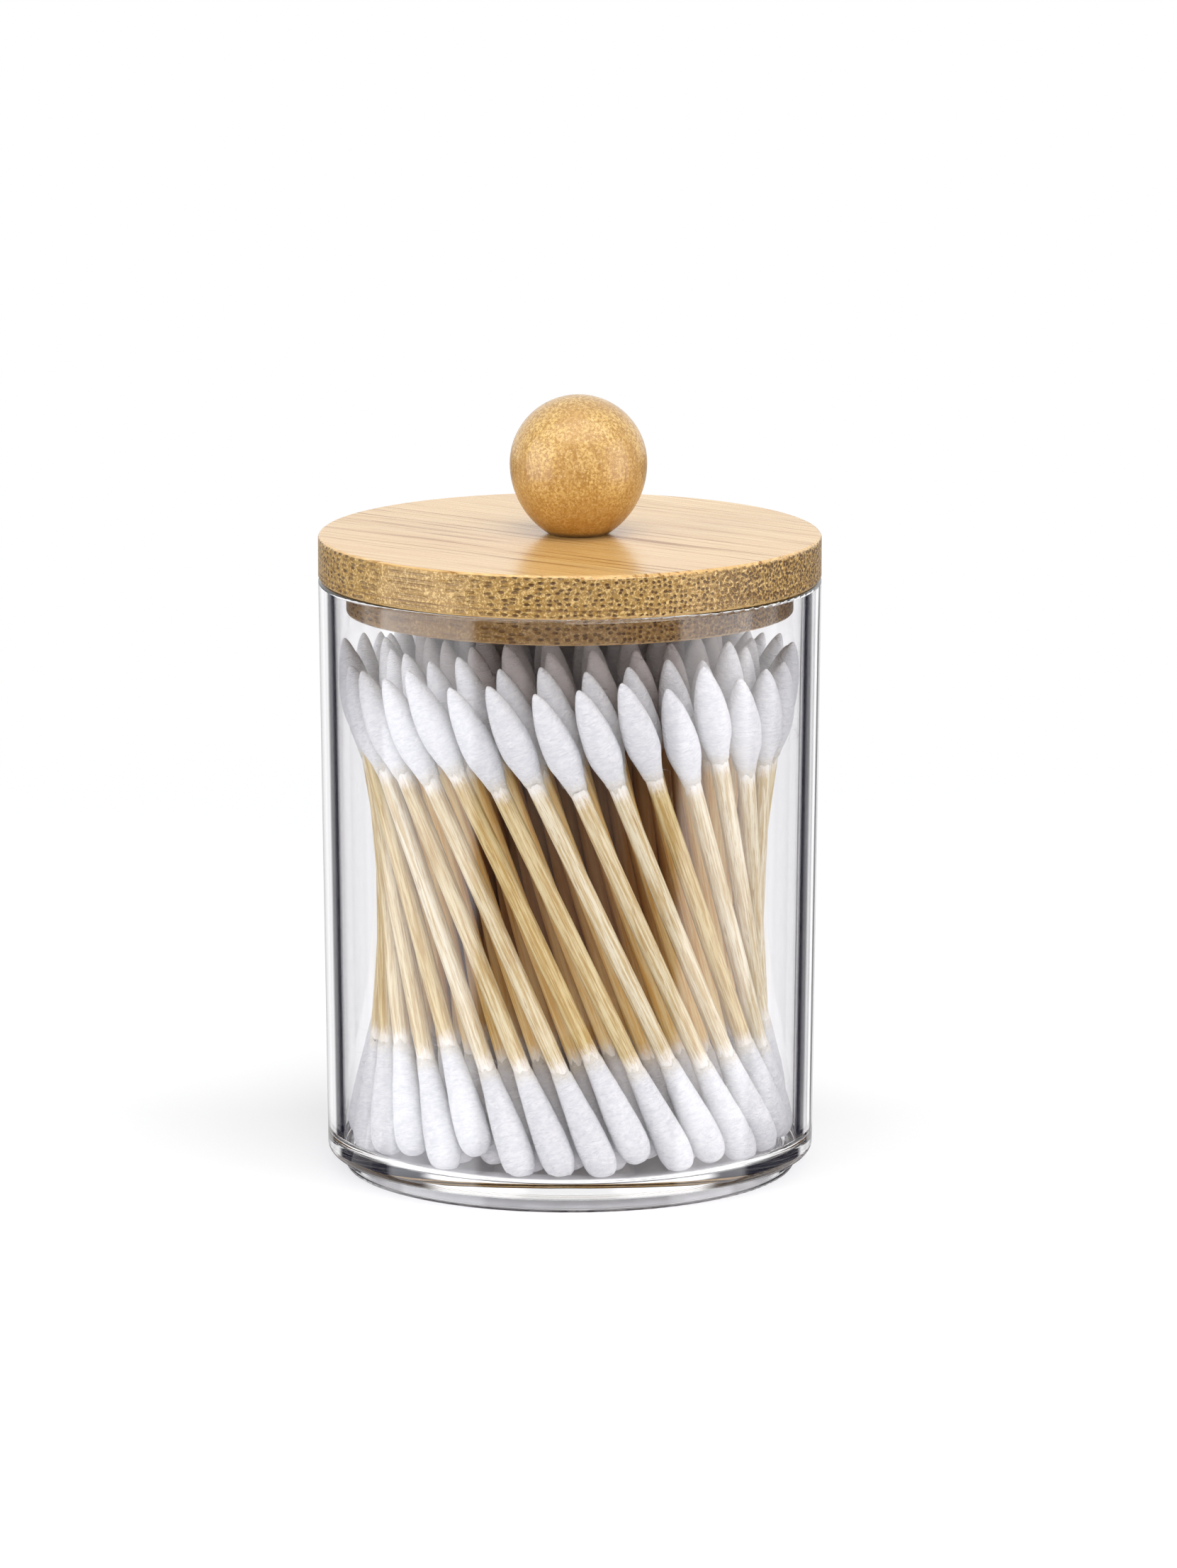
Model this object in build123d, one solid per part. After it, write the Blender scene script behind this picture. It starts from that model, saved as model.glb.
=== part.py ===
from build123d import *
import math
import os

# Counter-top jar of double-ended cotton swabs. The jar is one clear moulding, the lid is one turned
# disc of bamboo with a plug that drops into the mouth, and a wooden ball is screwed on as its knob.
# Millimetres, +Z up. The origin is on the table, on the jar's axis, and -Y is the front.

# Jar
rim_diameter = 70.0
base_diameter = 67.9
wall = 2.2
floor_thickness = 2.0
foot_setback = 2.45
foot_width = 2.0
foot_height = 2.1
foot_round = 0.5
base_round = 1.3
inner_corner = 1.6
rim_round = 0.5
swab_headroom = 0.2

# Lid. Its disc is flush with the jar's rim, and its plug hangs loose inside the mouth
lid_thickness = 6.1
lid_edge_round = 0.5
plug_gap = 1.65
plug_depth = 4.1
plug_edge_round = 0.4

# Knob, a turned ball with a flat seat, a little to the right of the lid's centre
knob_diameter = 19.1
knob_height = 19.4
knob_flat_diameter = 8.2
knob_offset = 1.2
knob_bore_depth = 11.0

# Countersunk screw that holds the knob from under the plug
screw_diameter = 3.5
screw_length = 18.0
screw_head_diameter = 7.0
screw_head_land = 0.4
screw_point_length = 2.5
screw_recess = 0.3
screw_hole_gap = 0.25
screw_thread_gap = 0.03
cross_width = 1.0
cross_span = 3.6
cross_depth = 1.4

# Swab: a bamboo stick with cotton wound on both ends, one pointed and one round
swab_length = 75.0
stick_diameter = 2.4
pointed_inset = 4.5
round_inset = 1.8
wrap_gap = 0.01
neck_diameter = 2.9
pointed_diameter = 4.7
pointed_length = 15.5
pointed_belt = 9.3
round_diameter = 4.6
round_length = 16.0
round_belt = 3.6
# How strongly each bud's outline is drawn outwards at its end and along the swab at its belt
pointed_end_shares = (0.32, 0.46)
round_end_shares = (0.7, 0.65)
# How far the outline runs on along the swab from its belt, and back from its neck
pointed_neck_shares = (0.45, 0.35)
round_neck_shares = (0.35, 0.3)

# Bundle: rings of swabs that stand round end down and lean round the jar's axis
row_total = 5
twist = 53.0
twist_sway = 2.0
first_azimuth = -81.8
round_bud_gap = 0.3
pointed_bud_gap = 0.28
foot_wall_gap = 0.35
head_wall_gap = 1.3
floor_gap = 0.1
# Some swabs are caught higher up along their own lean, by a share of the room under the plug
stand_room_share = 0.45
stand_shares = (0.05, 0.75, 0.1, 0.35, 0.0, 0.2, 0.5, 0.0, 1.0, 0.0, 0.1)

# Places that follow from the sizes above. An upright swab just fits under the plug
floor_top = foot_height + floor_thickness
rim_height = floor_top + swab_length + swab_headroom + plug_depth
lid_top = rim_height + lid_thickness
lid_diameter = rim_diameter
plug_bottom = rim_height - plug_depth
plug_diameter = rim_diameter - (wall + plug_gap) * 2
foot_diameter = base_diameter - foot_setback * 2
cut_overrun = 1.0


def wall_radius(height):
    """Outer radius of the jar's tapered wall at a height above the table."""
    lean = (rim_diameter - base_diameter) / 2 / rim_height
    return base_diameter / 2 + lean * height


def turned(outline):
    """Solid turned about Z from an outline of edges in the XZ plane."""
    return revolve(make_face(Plane.XZ * outline), Axis.Z)


def rounded(solid, radius, *places):
    """The solid with its circular edges at each (radius, height) rounded."""
    near = radius / 100
    edges = [
        edge
        for edge in solid.edges().filter_by(GeomType.CIRCLE)
        for place_radius, height in places
        if abs(edge.radius - place_radius) < near and abs(edge.arc_center.Z - height) < near
    ]
    return fillet(edges, radius)


def make_jar():
    """Cup with a drafted wall, and a foot ring that lifts its floor off the table."""
    outer_base = wall_radius(foot_height)
    inner_base = wall_radius(floor_top) - wall
    inner_rim = wall_radius(rim_height) - wall
    foot_outer = foot_diameter / 2
    foot_inner = foot_outer - foot_width
    cup = turned(
        Polyline(
            (0, foot_height),
            (foot_inner, foot_height),
            (foot_inner, 0),
            (foot_outer, 0),
            (foot_outer, foot_height),
            (outer_base, foot_height),
            (wall_radius(rim_height), rim_height),
            (inner_rim, rim_height),
            (inner_base, floor_top),
            (0, floor_top),
            close=True,
        )
    )
    cup = rounded(cup, base_round, (outer_base, foot_height))
    cup = rounded(cup, inner_corner, (inner_base, floor_top))
    cup = rounded(cup, foot_round, (foot_outer, 0), (foot_inner, 0), (foot_inner, foot_height))
    return rounded(cup, rim_round, (wall_radius(rim_height), rim_height), (inner_rim, rim_height))


def screw_head_height():
    """Height of the countersunk head, whose cone is 45 degrees steep."""
    return screw_head_land + (screw_head_diameter - screw_diameter) / 2


def screw_outline(gap, shank_length, point_length):
    """Half outline of the screw from its head's face up, widened by a gap all round."""
    head = screw_head_diameter / 2 + gap
    shank = screw_diameter / 2 + gap
    return Polyline(
        (0, 0),
        (head, 0),
        (head, screw_head_land),
        (shank, screw_head_height()),
        (shank, shank_length - point_length),
        (0, shank_length),
        close=True,
    )


def knob_place(height):
    """A place on the knob's own axis."""
    return Location((knob_offset, 0, height))


def make_lid():
    """Disc and plug turned from one blank, with the screw's countersunk hole through both."""
    disc = lid_diameter / 2
    plug = plug_diameter / 2
    blank = turned(
        Polyline(
            (0, plug_bottom),
            (plug, plug_bottom),
            (plug, rim_height),
            (disc, rim_height),
            (disc, lid_top),
            (0, lid_top),
            close=True,
        )
    )
    blank = rounded(blank, lid_edge_round, (disc, lid_top), (disc, rim_height))
    blank = rounded(blank, plug_edge_round, (plug, plug_bottom))
    through = lid_thickness + plug_depth + cut_overrun
    hole = turned(screw_outline(screw_hole_gap, through + screw_diameter, screw_diameter))
    mouth = Cylinder(
        screw_head_diameter / 2 + screw_hole_gap,
        screw_recess + cut_overrun,
        align=(Align.CENTER, Align.CENTER, Align.MAX),
    )
    seat = knob_place(plug_bottom + screw_recess)
    return blank - seat * hole - seat * mouth


def make_knob():
    """Ball with its lower half drawn down a little to a flat seat, and a blind hole for the screw."""
    belt = knob_diameter / 2
    belt_height = knob_height - belt
    flat = knob_flat_diameter / 2
    crown = CenterArc((0, belt_height), belt, 0, 90)
    skirt = TangentArc((belt, belt_height), (flat, 0), tangent=(0, -1))
    ball = turned(crown + skirt + Polyline((flat, 0), (0, 0), (0, knob_height)))
    bore = Cylinder(
        screw_diameter / 2 + screw_thread_gap,
        knob_bore_depth + cut_overrun,
        align=(Align.CENTER, Align.CENTER, Align.MIN),
    )
    return knob_place(lid_top) * (ball - Pos(0, 0, -cut_overrun) * bore)


def make_knob_screw():
    """Wood screw driven up through the lid into the knob, with a cross recess in its head."""
    screw = turned(screw_outline(0, screw_length, screw_point_length))
    arm = Box(cross_span, cross_width, cross_depth * 2)
    return knob_place(plug_bottom + screw_recess) * (screw - arm - Rot(0, 0, 90) * arm)


def between(start, end, share):
    """The value a share of the way from start to end."""
    return start + (end - start) * share


def make_stick():
    """Round bamboo stick, hidden at both ends in the cotton. Z runs along the swab from its round end."""
    length = swab_length - pointed_inset - round_inset
    stick = Cylinder(stick_diameter / 2, length, align=(Align.CENTER, Align.CENTER, Align.MIN))
    return Pos(0, 0, round_inset) * stick


def turned_bud(end_height, belt_height, belt, neck_height, bore_height, end_shares, neck_shares):
    """Cotton bud: a curve from its end to its belt and on to its neck, closed round the stick's bore."""
    neck = neck_diameter / 2
    bore = stick_diameter / 2 + wrap_gap
    end = (0, end_height)
    outward, drawn = end_shares
    front = Bezier(
        end,
        (belt * outward, end_height),
        (belt, between(belt_height, end_height, drawn)),
        (belt, belt_height),
    )
    onward, back = neck_shares
    rear = Bezier(
        (belt, belt_height),
        (belt, between(belt_height, neck_height, onward)),
        (neck, between(neck_height, belt_height, back)),
        (neck, neck_height),
    )
    inside = Polyline(
        (neck, neck_height), (bore, neck_height), (bore, bore_height), (0, bore_height), end
    )
    return turned(front + rear + inside)


def make_pointed_bud():
    """Bud that swells from a fine tip to its belt and draws in to a neck on the stick."""
    return turned_bud(
        swab_length,
        swab_length - pointed_belt,
        pointed_diameter / 2,
        swab_length - pointed_length,
        swab_length - pointed_inset - wrap_gap,
        pointed_end_shares,
        pointed_neck_shares,
    )


def make_round_bud():
    """Drop-shaped bud with a blunt round end."""
    return turned_bud(
        0,
        round_belt,
        round_diameter / 2,
        round_length,
        round_inset - wrap_gap,
        round_end_shares,
        round_neck_shares,
    )


def swab_span():
    """Length of the swab from the middle of its round end to the belt of its pointed bud."""
    return swab_length - round_diameter / 2 - pointed_belt


def row_lean(foot_radius, head_radius):
    """Angle from upright of a swab whose two ends lie at these radii, the twist apart."""
    turn = math.radians(twist)
    reach = math.sqrt(
        foot_radius**2 + head_radius**2 - 2 * foot_radius * head_radius * math.cos(turn)
    )
    return math.asin(reach / swab_span())


def ring_count(radius, lean, room):
    """How many leaning swabs stand side by side in a ring, with this room for each bud."""
    chord_share = room / (2 * radius * math.cos(lean))
    return int(math.pi / math.asin(chord_share)) if chord_share < 1 else 1


def plan_rows():
    """(swabs, first azimuth, foot radius, head radius, lean) of each ring, from the wall inwards."""
    foot_room = round_diameter + round_bud_gap
    head_room = pointed_diameter + pointed_bud_gap
    belt_height = plug_bottom - pointed_length
    foot_radius = wall_radius(floor_top) - wall - foot_wall_gap - round_diameter / 2
    head_radius = wall_radius(belt_height) - wall - head_wall_gap - pointed_diameter / 2
    azimuth = first_azimuth
    rows = []
    for _ in range(row_total):
        lean = row_lean(foot_radius, head_radius)
        count = min(ring_count(foot_radius, lean, foot_room), ring_count(head_radius, lean, head_room))
        rows.append((count, azimuth, foot_radius, head_radius, lean))
        foot_radius -= foot_room
        head_radius -= head_room
        azimuth += 180 / count
    return rows


def ring_point(radius, azimuth, height):
    """A point at this azimuth, in degrees from +X, round the jar's axis."""
    angle = math.radians(azimuth)
    return Vector(radius * math.cos(angle), radius * math.sin(angle), height)


def stand_room(lean):
    """Room between the plug and the tip of a swab that stands on the floor at this lean."""
    belly = round_diameter / 2
    tip = floor_top + floor_gap + belly + (swab_length - belly) * math.cos(lean)
    return plug_bottom - tip


def swab_place(row, number):
    """Where a swab of a row stands: its foot by the floor, and its pointed end turned round the axis."""
    count, start, foot_radius, head_radius, lean = row
    azimuth = start + 360 / count * number
    lift = stand_room(lean) * stand_room_share * stand_shares[number % len(stand_shares)]
    height = floor_top + floor_gap + round_diameter / 2
    turn = twist - twist_sway * math.sin(math.radians(azimuth))
    foot = ring_point(foot_radius, azimuth, height)
    head = ring_point(head_radius, azimuth - turn, height)
    reach = (head - foot).length
    rise = math.sqrt(swab_span() ** 2 - reach**2)
    direction = (head + Vector(0, 0, rise) - foot).normalized()
    return Plane(foot + direction * (lift - round_diameter / 2), z_dir=direction).location


def save(name, shape):
    export_step(shape, f"parts/{name}.step")


os.makedirs("parts", exist_ok=True)
save("jar", make_jar())
save("lid", make_lid())
save("knob", make_knob())
save("knob_screw", make_knob_screw())

swab_pieces = {
    "sticks": make_stick(),
    "pointed_buds": make_pointed_bud(),
    "round_buds": make_round_bud(),
}
for row_number, row in enumerate(plan_rows(), start=1):
    places = [swab_place(row, number) for number in range(row[0])]
    for kind, piece in swab_pieces.items():
        save(f"row_{row_number}_{kind}", Compound([place * piece for place in places]))
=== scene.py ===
import math
import random

import bpy
import numpy as np
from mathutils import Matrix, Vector, noise


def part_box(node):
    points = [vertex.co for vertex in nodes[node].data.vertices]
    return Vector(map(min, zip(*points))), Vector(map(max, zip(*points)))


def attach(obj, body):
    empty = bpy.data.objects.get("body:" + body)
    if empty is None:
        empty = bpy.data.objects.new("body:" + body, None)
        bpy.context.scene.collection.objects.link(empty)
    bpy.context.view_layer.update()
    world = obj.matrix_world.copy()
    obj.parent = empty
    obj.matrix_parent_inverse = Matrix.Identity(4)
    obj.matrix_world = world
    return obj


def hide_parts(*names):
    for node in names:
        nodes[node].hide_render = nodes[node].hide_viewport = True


# Looks of a clear jar of cotton swabs with a bamboo lid and a wooden ball for a knob. Metres, +Z up, and
# the front is -Y. Sizes written in millimetres are multiplied by MM, but places in a material stay in
# plain millimetres. Bearings are in degrees from the camera's side, where 90 is the right. Colours are
# linear.
MM = 0.001

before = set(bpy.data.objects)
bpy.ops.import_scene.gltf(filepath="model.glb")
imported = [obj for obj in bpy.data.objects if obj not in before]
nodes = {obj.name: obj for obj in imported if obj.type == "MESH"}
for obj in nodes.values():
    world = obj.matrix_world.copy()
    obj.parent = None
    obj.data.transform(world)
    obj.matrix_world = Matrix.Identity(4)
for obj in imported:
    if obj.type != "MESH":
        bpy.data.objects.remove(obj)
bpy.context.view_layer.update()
lid_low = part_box("jar")[1].z
knob_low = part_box("knob")[0].z

# Swab, the same sizes as the solids that it replaces. Heights run from its round end
STICK_RADIUS = 1.2 * MM
STICK_LOW = 1.8 * MM
STICK_HIGH = 70.5 * MM
SWAB_LENGTH = 75.0 * MM
POINTED_LENGTH = 15.5 * MM
ROUND_LENGTH = 16.0 * MM
# Distance from the bud's end and radius there, in millimetres
POINTED_PROFILE = [
    (0.0, 0.0), (0.21, 0.31), (0.55, 0.53), (1.27, 0.87), (2.4, 1.27), (3.95, 1.69), (5.93, 2.07),
    (7.94, 2.3), (9.3, 2.35), (10.8, 2.28), (12.3, 1.96), (13.9, 1.58), (15.5, 1.3),
]
ROUND_PROFILE = [
    (0.0, 0.0), (0.03, 0.41), (0.13, 0.82), (0.32, 1.19), (0.6, 1.51), (1.0, 1.79), (1.74, 2.09),
    (2.6, 2.25), (3.6, 2.3), (5.6, 2.24), (7.8, 2.09), (10.4, 1.83), (13.0, 1.54), (14.7, 1.39),
    (16.0, 1.3),
]
# Middle of the bare stick, and how far from it the cotton starts
BARE_MIDDLE = (ROUND_LENGTH + SWAB_LENGTH - POINTED_LENGTH) / 2
BARE_HALF = (SWAB_LENGTH - POINTED_LENGTH - ROUND_LENGTH) / 2


class Graph:
    """A material's or the world's node tree, with short ways to add nodes and sums."""

    def __init__(self, tree):
        self.tree = tree
        tree.nodes.clear()

    def plug(self, socket, value):
        if isinstance(value, bpy.types.NodeSocket):
            self.tree.links.new(value, socket)
        elif value is not None:
            socket.default_value = value

    def add(self, kind, inputs=None, **settings):
        """A node of this kind with its settings and inputs."""
        node = self.tree.nodes.new(kind)
        for name, value in settings.items():
            setattr(node, name, value)
        for name, value in (inputs or {}).items():
            self.plug(node.inputs[name], value)
        return node

    def math(self, operation, *values):
        return self.add("ShaderNodeMath", dict(enumerate(values)), operation=operation).outputs[0]

    def scaled(self, vector, factors):
        inputs = {0: vector, 1: factors}
        return self.add("ShaderNodeVectorMath", inputs, operation="MULTIPLY").outputs[0]

    def noise(self, place, scale, detail=3.0, roughness=0.5, distortion=0.0):
        inputs = {
            "Vector": place, "Scale": scale, "Detail": detail,
            "Roughness": roughness, "Distortion": distortion,
        }
        return self.add("ShaderNodeTexNoise", inputs).outputs["Fac"]

    def cells(self, place, scale, randomness):
        """Distance in a plane to the nearest of scattered points."""
        inputs = {"Vector": place, "Scale": scale, "Randomness": randomness}
        return self.add("ShaderNodeTexVoronoi", inputs, voronoi_dimensions="2D").outputs["Distance"]

    def ramp(self, value, low, high, out_low=0.0, out_high=1.0):
        """value taken smoothly from low..high to out_low..out_high, held at its ends."""
        inputs = {"Value": value, "From Min": low, "From Max": high, "To Min": out_low, "To Max": out_high}
        node = self.add("ShaderNodeMapRange", inputs, interpolation_type="SMOOTHSTEP", clamp=True)
        return node.outputs["Result"]

    def blend(self, share, first, second):
        """Mix of two colours."""
        node = self.add("ShaderNodeMix", data_type="RGBA")
        self.plug(node.inputs["Factor"], share)
        for socket, colour in (("A", first), ("B", second)):
            made = isinstance(colour, bpy.types.NodeSocket)
            self.plug(node.inputs[socket], colour if made else (*colour, 1.0))
        return next(o for o in node.outputs if o.enabled and o.type == "RGBA")

    def split(self, vector):
        return self.add("ShaderNodeSeparateXYZ", {0: vector}).outputs

    def join(self, x, y, z):
        return self.add("ShaderNodeCombineXYZ", {0: x, 1: y, 2: z}).outputs[0]

    def place_mm(self):
        """The place in the piece's own frame, in millimetres."""
        place = self.add("ShaderNodeTexCoord").outputs["Object"]
        return self.scaled(place, (1 / MM, 1 / MM, 1 / MM))

    def axis_distance(self):
        """Millimetres from the jar's axis."""
        x, y = self.split(self.place_mm())[:2]
        square = self.math("ADD", self.math("MULTIPLY", x, x), self.math("MULTIPLY", y, y))
        return self.math("SQRT", square)

    def attribute(self, name, output="Vector"):
        node = self.add("ShaderNodeAttribute", attribute_name=name, attribute_type="GEOMETRY")
        return node.outputs[output]

    def bump(self, height, strength, distance):
        inputs = {"Height": height, "Strength": strength, "Distance": distance}
        return self.add("ShaderNodeBump", inputs).outputs["Normal"]

    def light_path(self, *kinds):
        """1 for a ray of any of these kinds, otherwise 0."""
        path = self.add("ShaderNodeLightPath")
        total = path.outputs[kinds[0]]
        for kind in kinds[1:]:
            total = self.math("MAXIMUM", total, path.outputs[kind])
        return total


def material(name):
    """A new material and its empty graph."""
    made = bpy.data.materials.new(name)
    made.use_nodes = True
    return made, Graph(made.node_tree)


def principled(graph, **inputs):
    """Principled shader on the material's output. Underscores in the names stand for spaces."""
    named = {name.replace("_", " "): value for name, value in inputs.items()}
    shader = graph.add("ShaderNodeBsdfPrincipled", named)
    output = graph.add("ShaderNodeOutputMaterial", {"Surface": shader.outputs[0]})
    return shader, output


# Polystyrene, and what it leaves of a lamp's light
PLASTIC_TINT = (0.985, 0.98, 0.99, 1.0)
PLASTIC_IOR = 1.5
PLASTIC_PASSES = (0.96, 0.955, 0.965, 1.0)


def clear_plastic():
    """Polystyrene. Rays from lamps pass straight through, so that what it holds is lit."""
    made, g = material("clear_plastic")
    shader, output = principled(
        g, Base_Color=PLASTIC_TINT, Roughness=0.0, IOR=PLASTIC_IOR, Transmission_Weight=1.0
    )
    passing = g.add("ShaderNodeBsdfTransparent", {"Color": PLASTIC_PASSES})
    straight = g.light_path("Is Shadow Ray", "Is Diffuse Ray")
    mixed = g.add("ShaderNodeMixShader", {0: straight, 1: shader.outputs[0], 2: passing.outputs[0]})
    g.plug(output.inputs["Surface"], mixed.outputs[0])
    return made


# Lid's fibres: their plan direction from +X, how much their pattern is drawn out, and their sway
GRAIN_TURN = math.radians(-37.7)
GRAIN_DRAW = 0.016
GRAIN_SWAY = 2.4
# Places across the fibres between which the bundles go from coarse to fine
COARSE_UNTIL = -14.0
FINE_WHOLE_FROM = -4.0
FINE_ALONE_FROM = 6.0
# Painted shade on the plug inside the jar starts this far below the disc, and is whole a little lower
PLUG_PAINTED_SHADE_FROM = 0.1
PLUG_PAINTED_SHADE_WHOLE = 0.3
# Glue line above the disc's lower face, and how far from its middle it starts to fade and ends
GLUE_LINE_HEIGHT = 1.25
GLUE_LINE_FADE = (0.05, 0.16)
BOARD_BUMP = 0.22 * MM

BOARD_DEEP = (0.58, 0.33, 0.095)
BOARD_PALE = (0.79, 0.55, 0.24)
BOARD_AMBER = (0.67, 0.40, 0.145)
BOARD_STREAK = (0.27, 0.105, 0.018)
EDGE_TONE = (0.25, 0.135, 0.026)
EDGE_GRIT = (0.63, 0.43, 0.175)
EDGE_DOT = (0.08, 0.03, 0.007)
PLUG_PAINTED_SHADE = (0.13, 0.06, 0.012)
GLUE_TONE = (0.20, 0.10, 0.03)


def board_streaks(g, along, across, height):
    """Streaks along the fibres: their colour, their fine grain and the share of dark streak."""
    place = g.join(g.math("MULTIPLY", along, GRAIN_DRAW), across, height)
    fine = g.noise(place, 2.3, 4.0, 0.6)
    broad = g.noise(place, 0.32, 2.0)
    dark = g.ramp(g.noise(place, 1.1, 4.0, 0.7), 0.53, 0.66)
    colour = g.blend(g.ramp(fine, 0.34, 0.66), BOARD_DEEP, BOARD_PALE)
    colour = g.blend(g.ramp(broad, 0.35, 0.65, 0.0, 0.5), colour, BOARD_AMBER)
    colour = g.blend(g.math("MULTIPLY", dark, 0.9), colour, BOARD_STREAK)
    return colour, fine, dark


def board_dots(g, across, height, normal):
    """Bundles as the edge cuts them: coarse on the culm's inner side, fine on its outer side, and fainter
    where the edge runs along the fibres."""
    section = g.join(across, height, 0.0)
    fine = g.ramp(g.cells(section, 1.75, 0.9), 0.22, 0.46, 1.0, 0.0)
    coarse = g.ramp(g.cells(section, 1.35, 0.6), 0.16, 0.34, 1.0, 0.0)
    fine = g.math("MULTIPLY", fine, g.ramp(across, COARSE_UNTIL, FINE_WHOLE_FROM))
    coarse = g.math("MULTIPLY", coarse, g.ramp(across, COARSE_UNTIL, FINE_ALONE_FROM, 1.0, 0.0))
    facing = g.math("MULTIPLY", normal[0], math.cos(GRAIN_TURN))
    facing = g.math("MULTIPLY_ADD", normal[1], math.sin(GRAIN_TURN), facing)
    cut_across = g.ramp(g.math("ABSOLUTE", facing), 0.12, 0.5, 0.4, 1.0)
    return g.math("MULTIPLY", g.math("MAXIMUM", coarse, fine), cut_across)


def bamboo_board():
    """Solid bamboo: straight fibres through the board, which show as streaks along the top and as dark
    dots where the edge cuts across them."""
    made, g = material("bamboo_board")
    turning = g.add("ShaderNodeMapping", {"Vector": g.place_mm(), "Rotation": (0, 0, -GRAIN_TURN)})
    turned = turning.outputs[0]
    along, across, height = g.split(turned)[:3]
    sway = g.noise(g.scaled(turned, (0.03, 0.12, 0.12)), 1.0, 2.0)
    across = g.math("MULTIPLY_ADD", sway, GRAIN_SWAY, across)
    colour, fine, dark_streak = board_streaks(g, along, across, height)

    normal = g.split(g.add("ShaderNodeTexCoord").outputs["Normal"])
    edge = g.ramp(g.math("ABSOLUTE", normal[2]), 0.25, 0.75, 1.0, 0.0)
    patchy = g.ramp(g.noise(turned, 0.9, 3.0), 0.3, 0.6, 0.5, 1.0)
    pits = g.math("MULTIPLY", g.math("MULTIPLY", board_dots(g, across, height, normal), edge), patchy)
    grit = g.ramp(g.noise(turned, 2.6, 4.0, 0.8), 0.49, 0.6)
    low = lid_low / MM
    # Painted shade on the plug, which sits under the disc inside the jar
    plug = g.ramp(height, low - PLUG_PAINTED_SHADE_WHOLE, low - PLUG_PAINTED_SHADE_FROM, 0.55, 0.0)
    from_line = g.math("ABSOLUTE", g.math("SUBTRACT", height, low + GLUE_LINE_HEIGHT))
    line = g.math("MULTIPLY", g.ramp(from_line, *GLUE_LINE_FADE, 1.0, 0.0), edge)
    colour = g.blend(g.math("MULTIPLY", edge, 0.9), colour, EDGE_TONE)
    colour = g.blend(g.math("MULTIPLY", grit, edge), colour, EDGE_GRIT)
    colour = g.blend(plug, colour, PLUG_PAINTED_SHADE)
    colour = g.blend(g.math("MULTIPLY", pits, 0.95), colour, EDGE_DOT)
    colour = g.blend(g.math("MULTIPLY", line, 0.6), colour, GLUE_TONE)

    relief = g.math("SUBTRACT", g.math("MULTIPLY", fine, 0.3), pits)
    relief = g.math("MULTIPLY", relief, g.math("MULTIPLY_ADD", edge, 0.93, 0.07))
    principled(
        g, Base_Color=colour, Normal=g.bump(relief, 1.0, BOARD_BUMP), Coat_Roughness=0.15,
        Roughness=g.math("MULTIPLY_ADD", edge, 0.10, g.ramp(fine, 0.3, 0.7, 0.30, 0.24)),
        Specular_IOR_Level=g.math("MULTIPLY_ADD", dark_streak, -0.3, 0.5),
        Coat_Weight=g.math("MULTIPLY_ADD", g.math("MAXIMUM", edge, dark_streak), -0.25, 0.35),
    )
    return made


# Knob's painted shade, by height above its seat: painted contact shadow at the seat, painted shade low
# down
SEAT_SHADE_WHOLE = 0.15
SEAT_SHADE_END = 1.0
LOWER_SHADE_END = 8.0
KNOB_BUMP = 0.12 * MM

KNOB_DEEP = (0.355, 0.175, 0.025)
KNOB_PALE = (0.69, 0.455, 0.15)
KNOB_CLOUD = (0.41, 0.215, 0.05)
KNOB_GRAIN = (0.33, 0.155, 0.02)
KNOB_SPECK = (0.80, 0.60, 0.34)
KNOB_PAINTED_LOWER_SHADE = (0.33, 0.14, 0.008)
KNOB_PAINTED_SEAT_SHADOW = (0.07, 0.03, 0.01)


def knob_wood():
    """Varnished wood, finely mottled, with faint upright grain, painted shade low down and painted shadow
    at its seat.
    """
    made, g = material("knob_wood")
    place = g.place_mm()
    mottle = g.noise(place, 2.4, 5.0, 0.75)
    cloud = g.noise(g.scaled(place, (1.0, 1.0, 0.5)), 0.24, 3.0)
    grain = g.noise(g.scaled(place, (1.0, 1.0, 0.10)), 1.5, 3.0, 0.6, 0.4)
    specks = g.ramp(g.noise(place, 3.4, 2.0, 0.6), 0.58, 0.68, 0.0, 0.5)
    above_seat = g.math("SUBTRACT", g.split(place)[2], knob_low / MM)
    # Painted shade on the knob's lower side, and a painted contact shadow where it sits on the lid
    lower = g.ramp(above_seat, SEAT_SHADE_END, LOWER_SHADE_END, 0.55, 0.0)
    seat = g.ramp(above_seat, SEAT_SHADE_WHOLE, SEAT_SHADE_END, 0.85, 0.0)
    colour = g.blend(g.ramp(mottle, 0.40, 0.60), KNOB_DEEP, KNOB_PALE)
    colour = g.blend(g.ramp(cloud, 0.38, 0.62, 0.0, 0.5), colour, KNOB_CLOUD)
    colour = g.blend(g.ramp(grain, 0.50, 0.66, 0.0, 0.6), colour, KNOB_GRAIN)
    colour = g.blend(specks, colour, KNOB_SPECK)
    colour = g.blend(lower, colour, KNOB_PAINTED_LOWER_SHADE)
    colour = g.blend(seat, colour, KNOB_PAINTED_SEAT_SHADOW)
    principled(
        g, Base_Color=colour, Roughness=g.ramp(mottle, 0.3, 0.7, 0.42, 0.30), Specular_IOR_Level=0.5,
        Normal=g.bump(mottle, 0.7, KNOB_BUMP), Coat_Weight=0.6, Coat_Roughness=0.2,
    )
    return made


SCREW_BUMP = 0.03 * MM
SCREW_DEEP = (0.42, 0.42, 0.43)
SCREW_PALE = (0.60, 0.60, 0.60)


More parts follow.
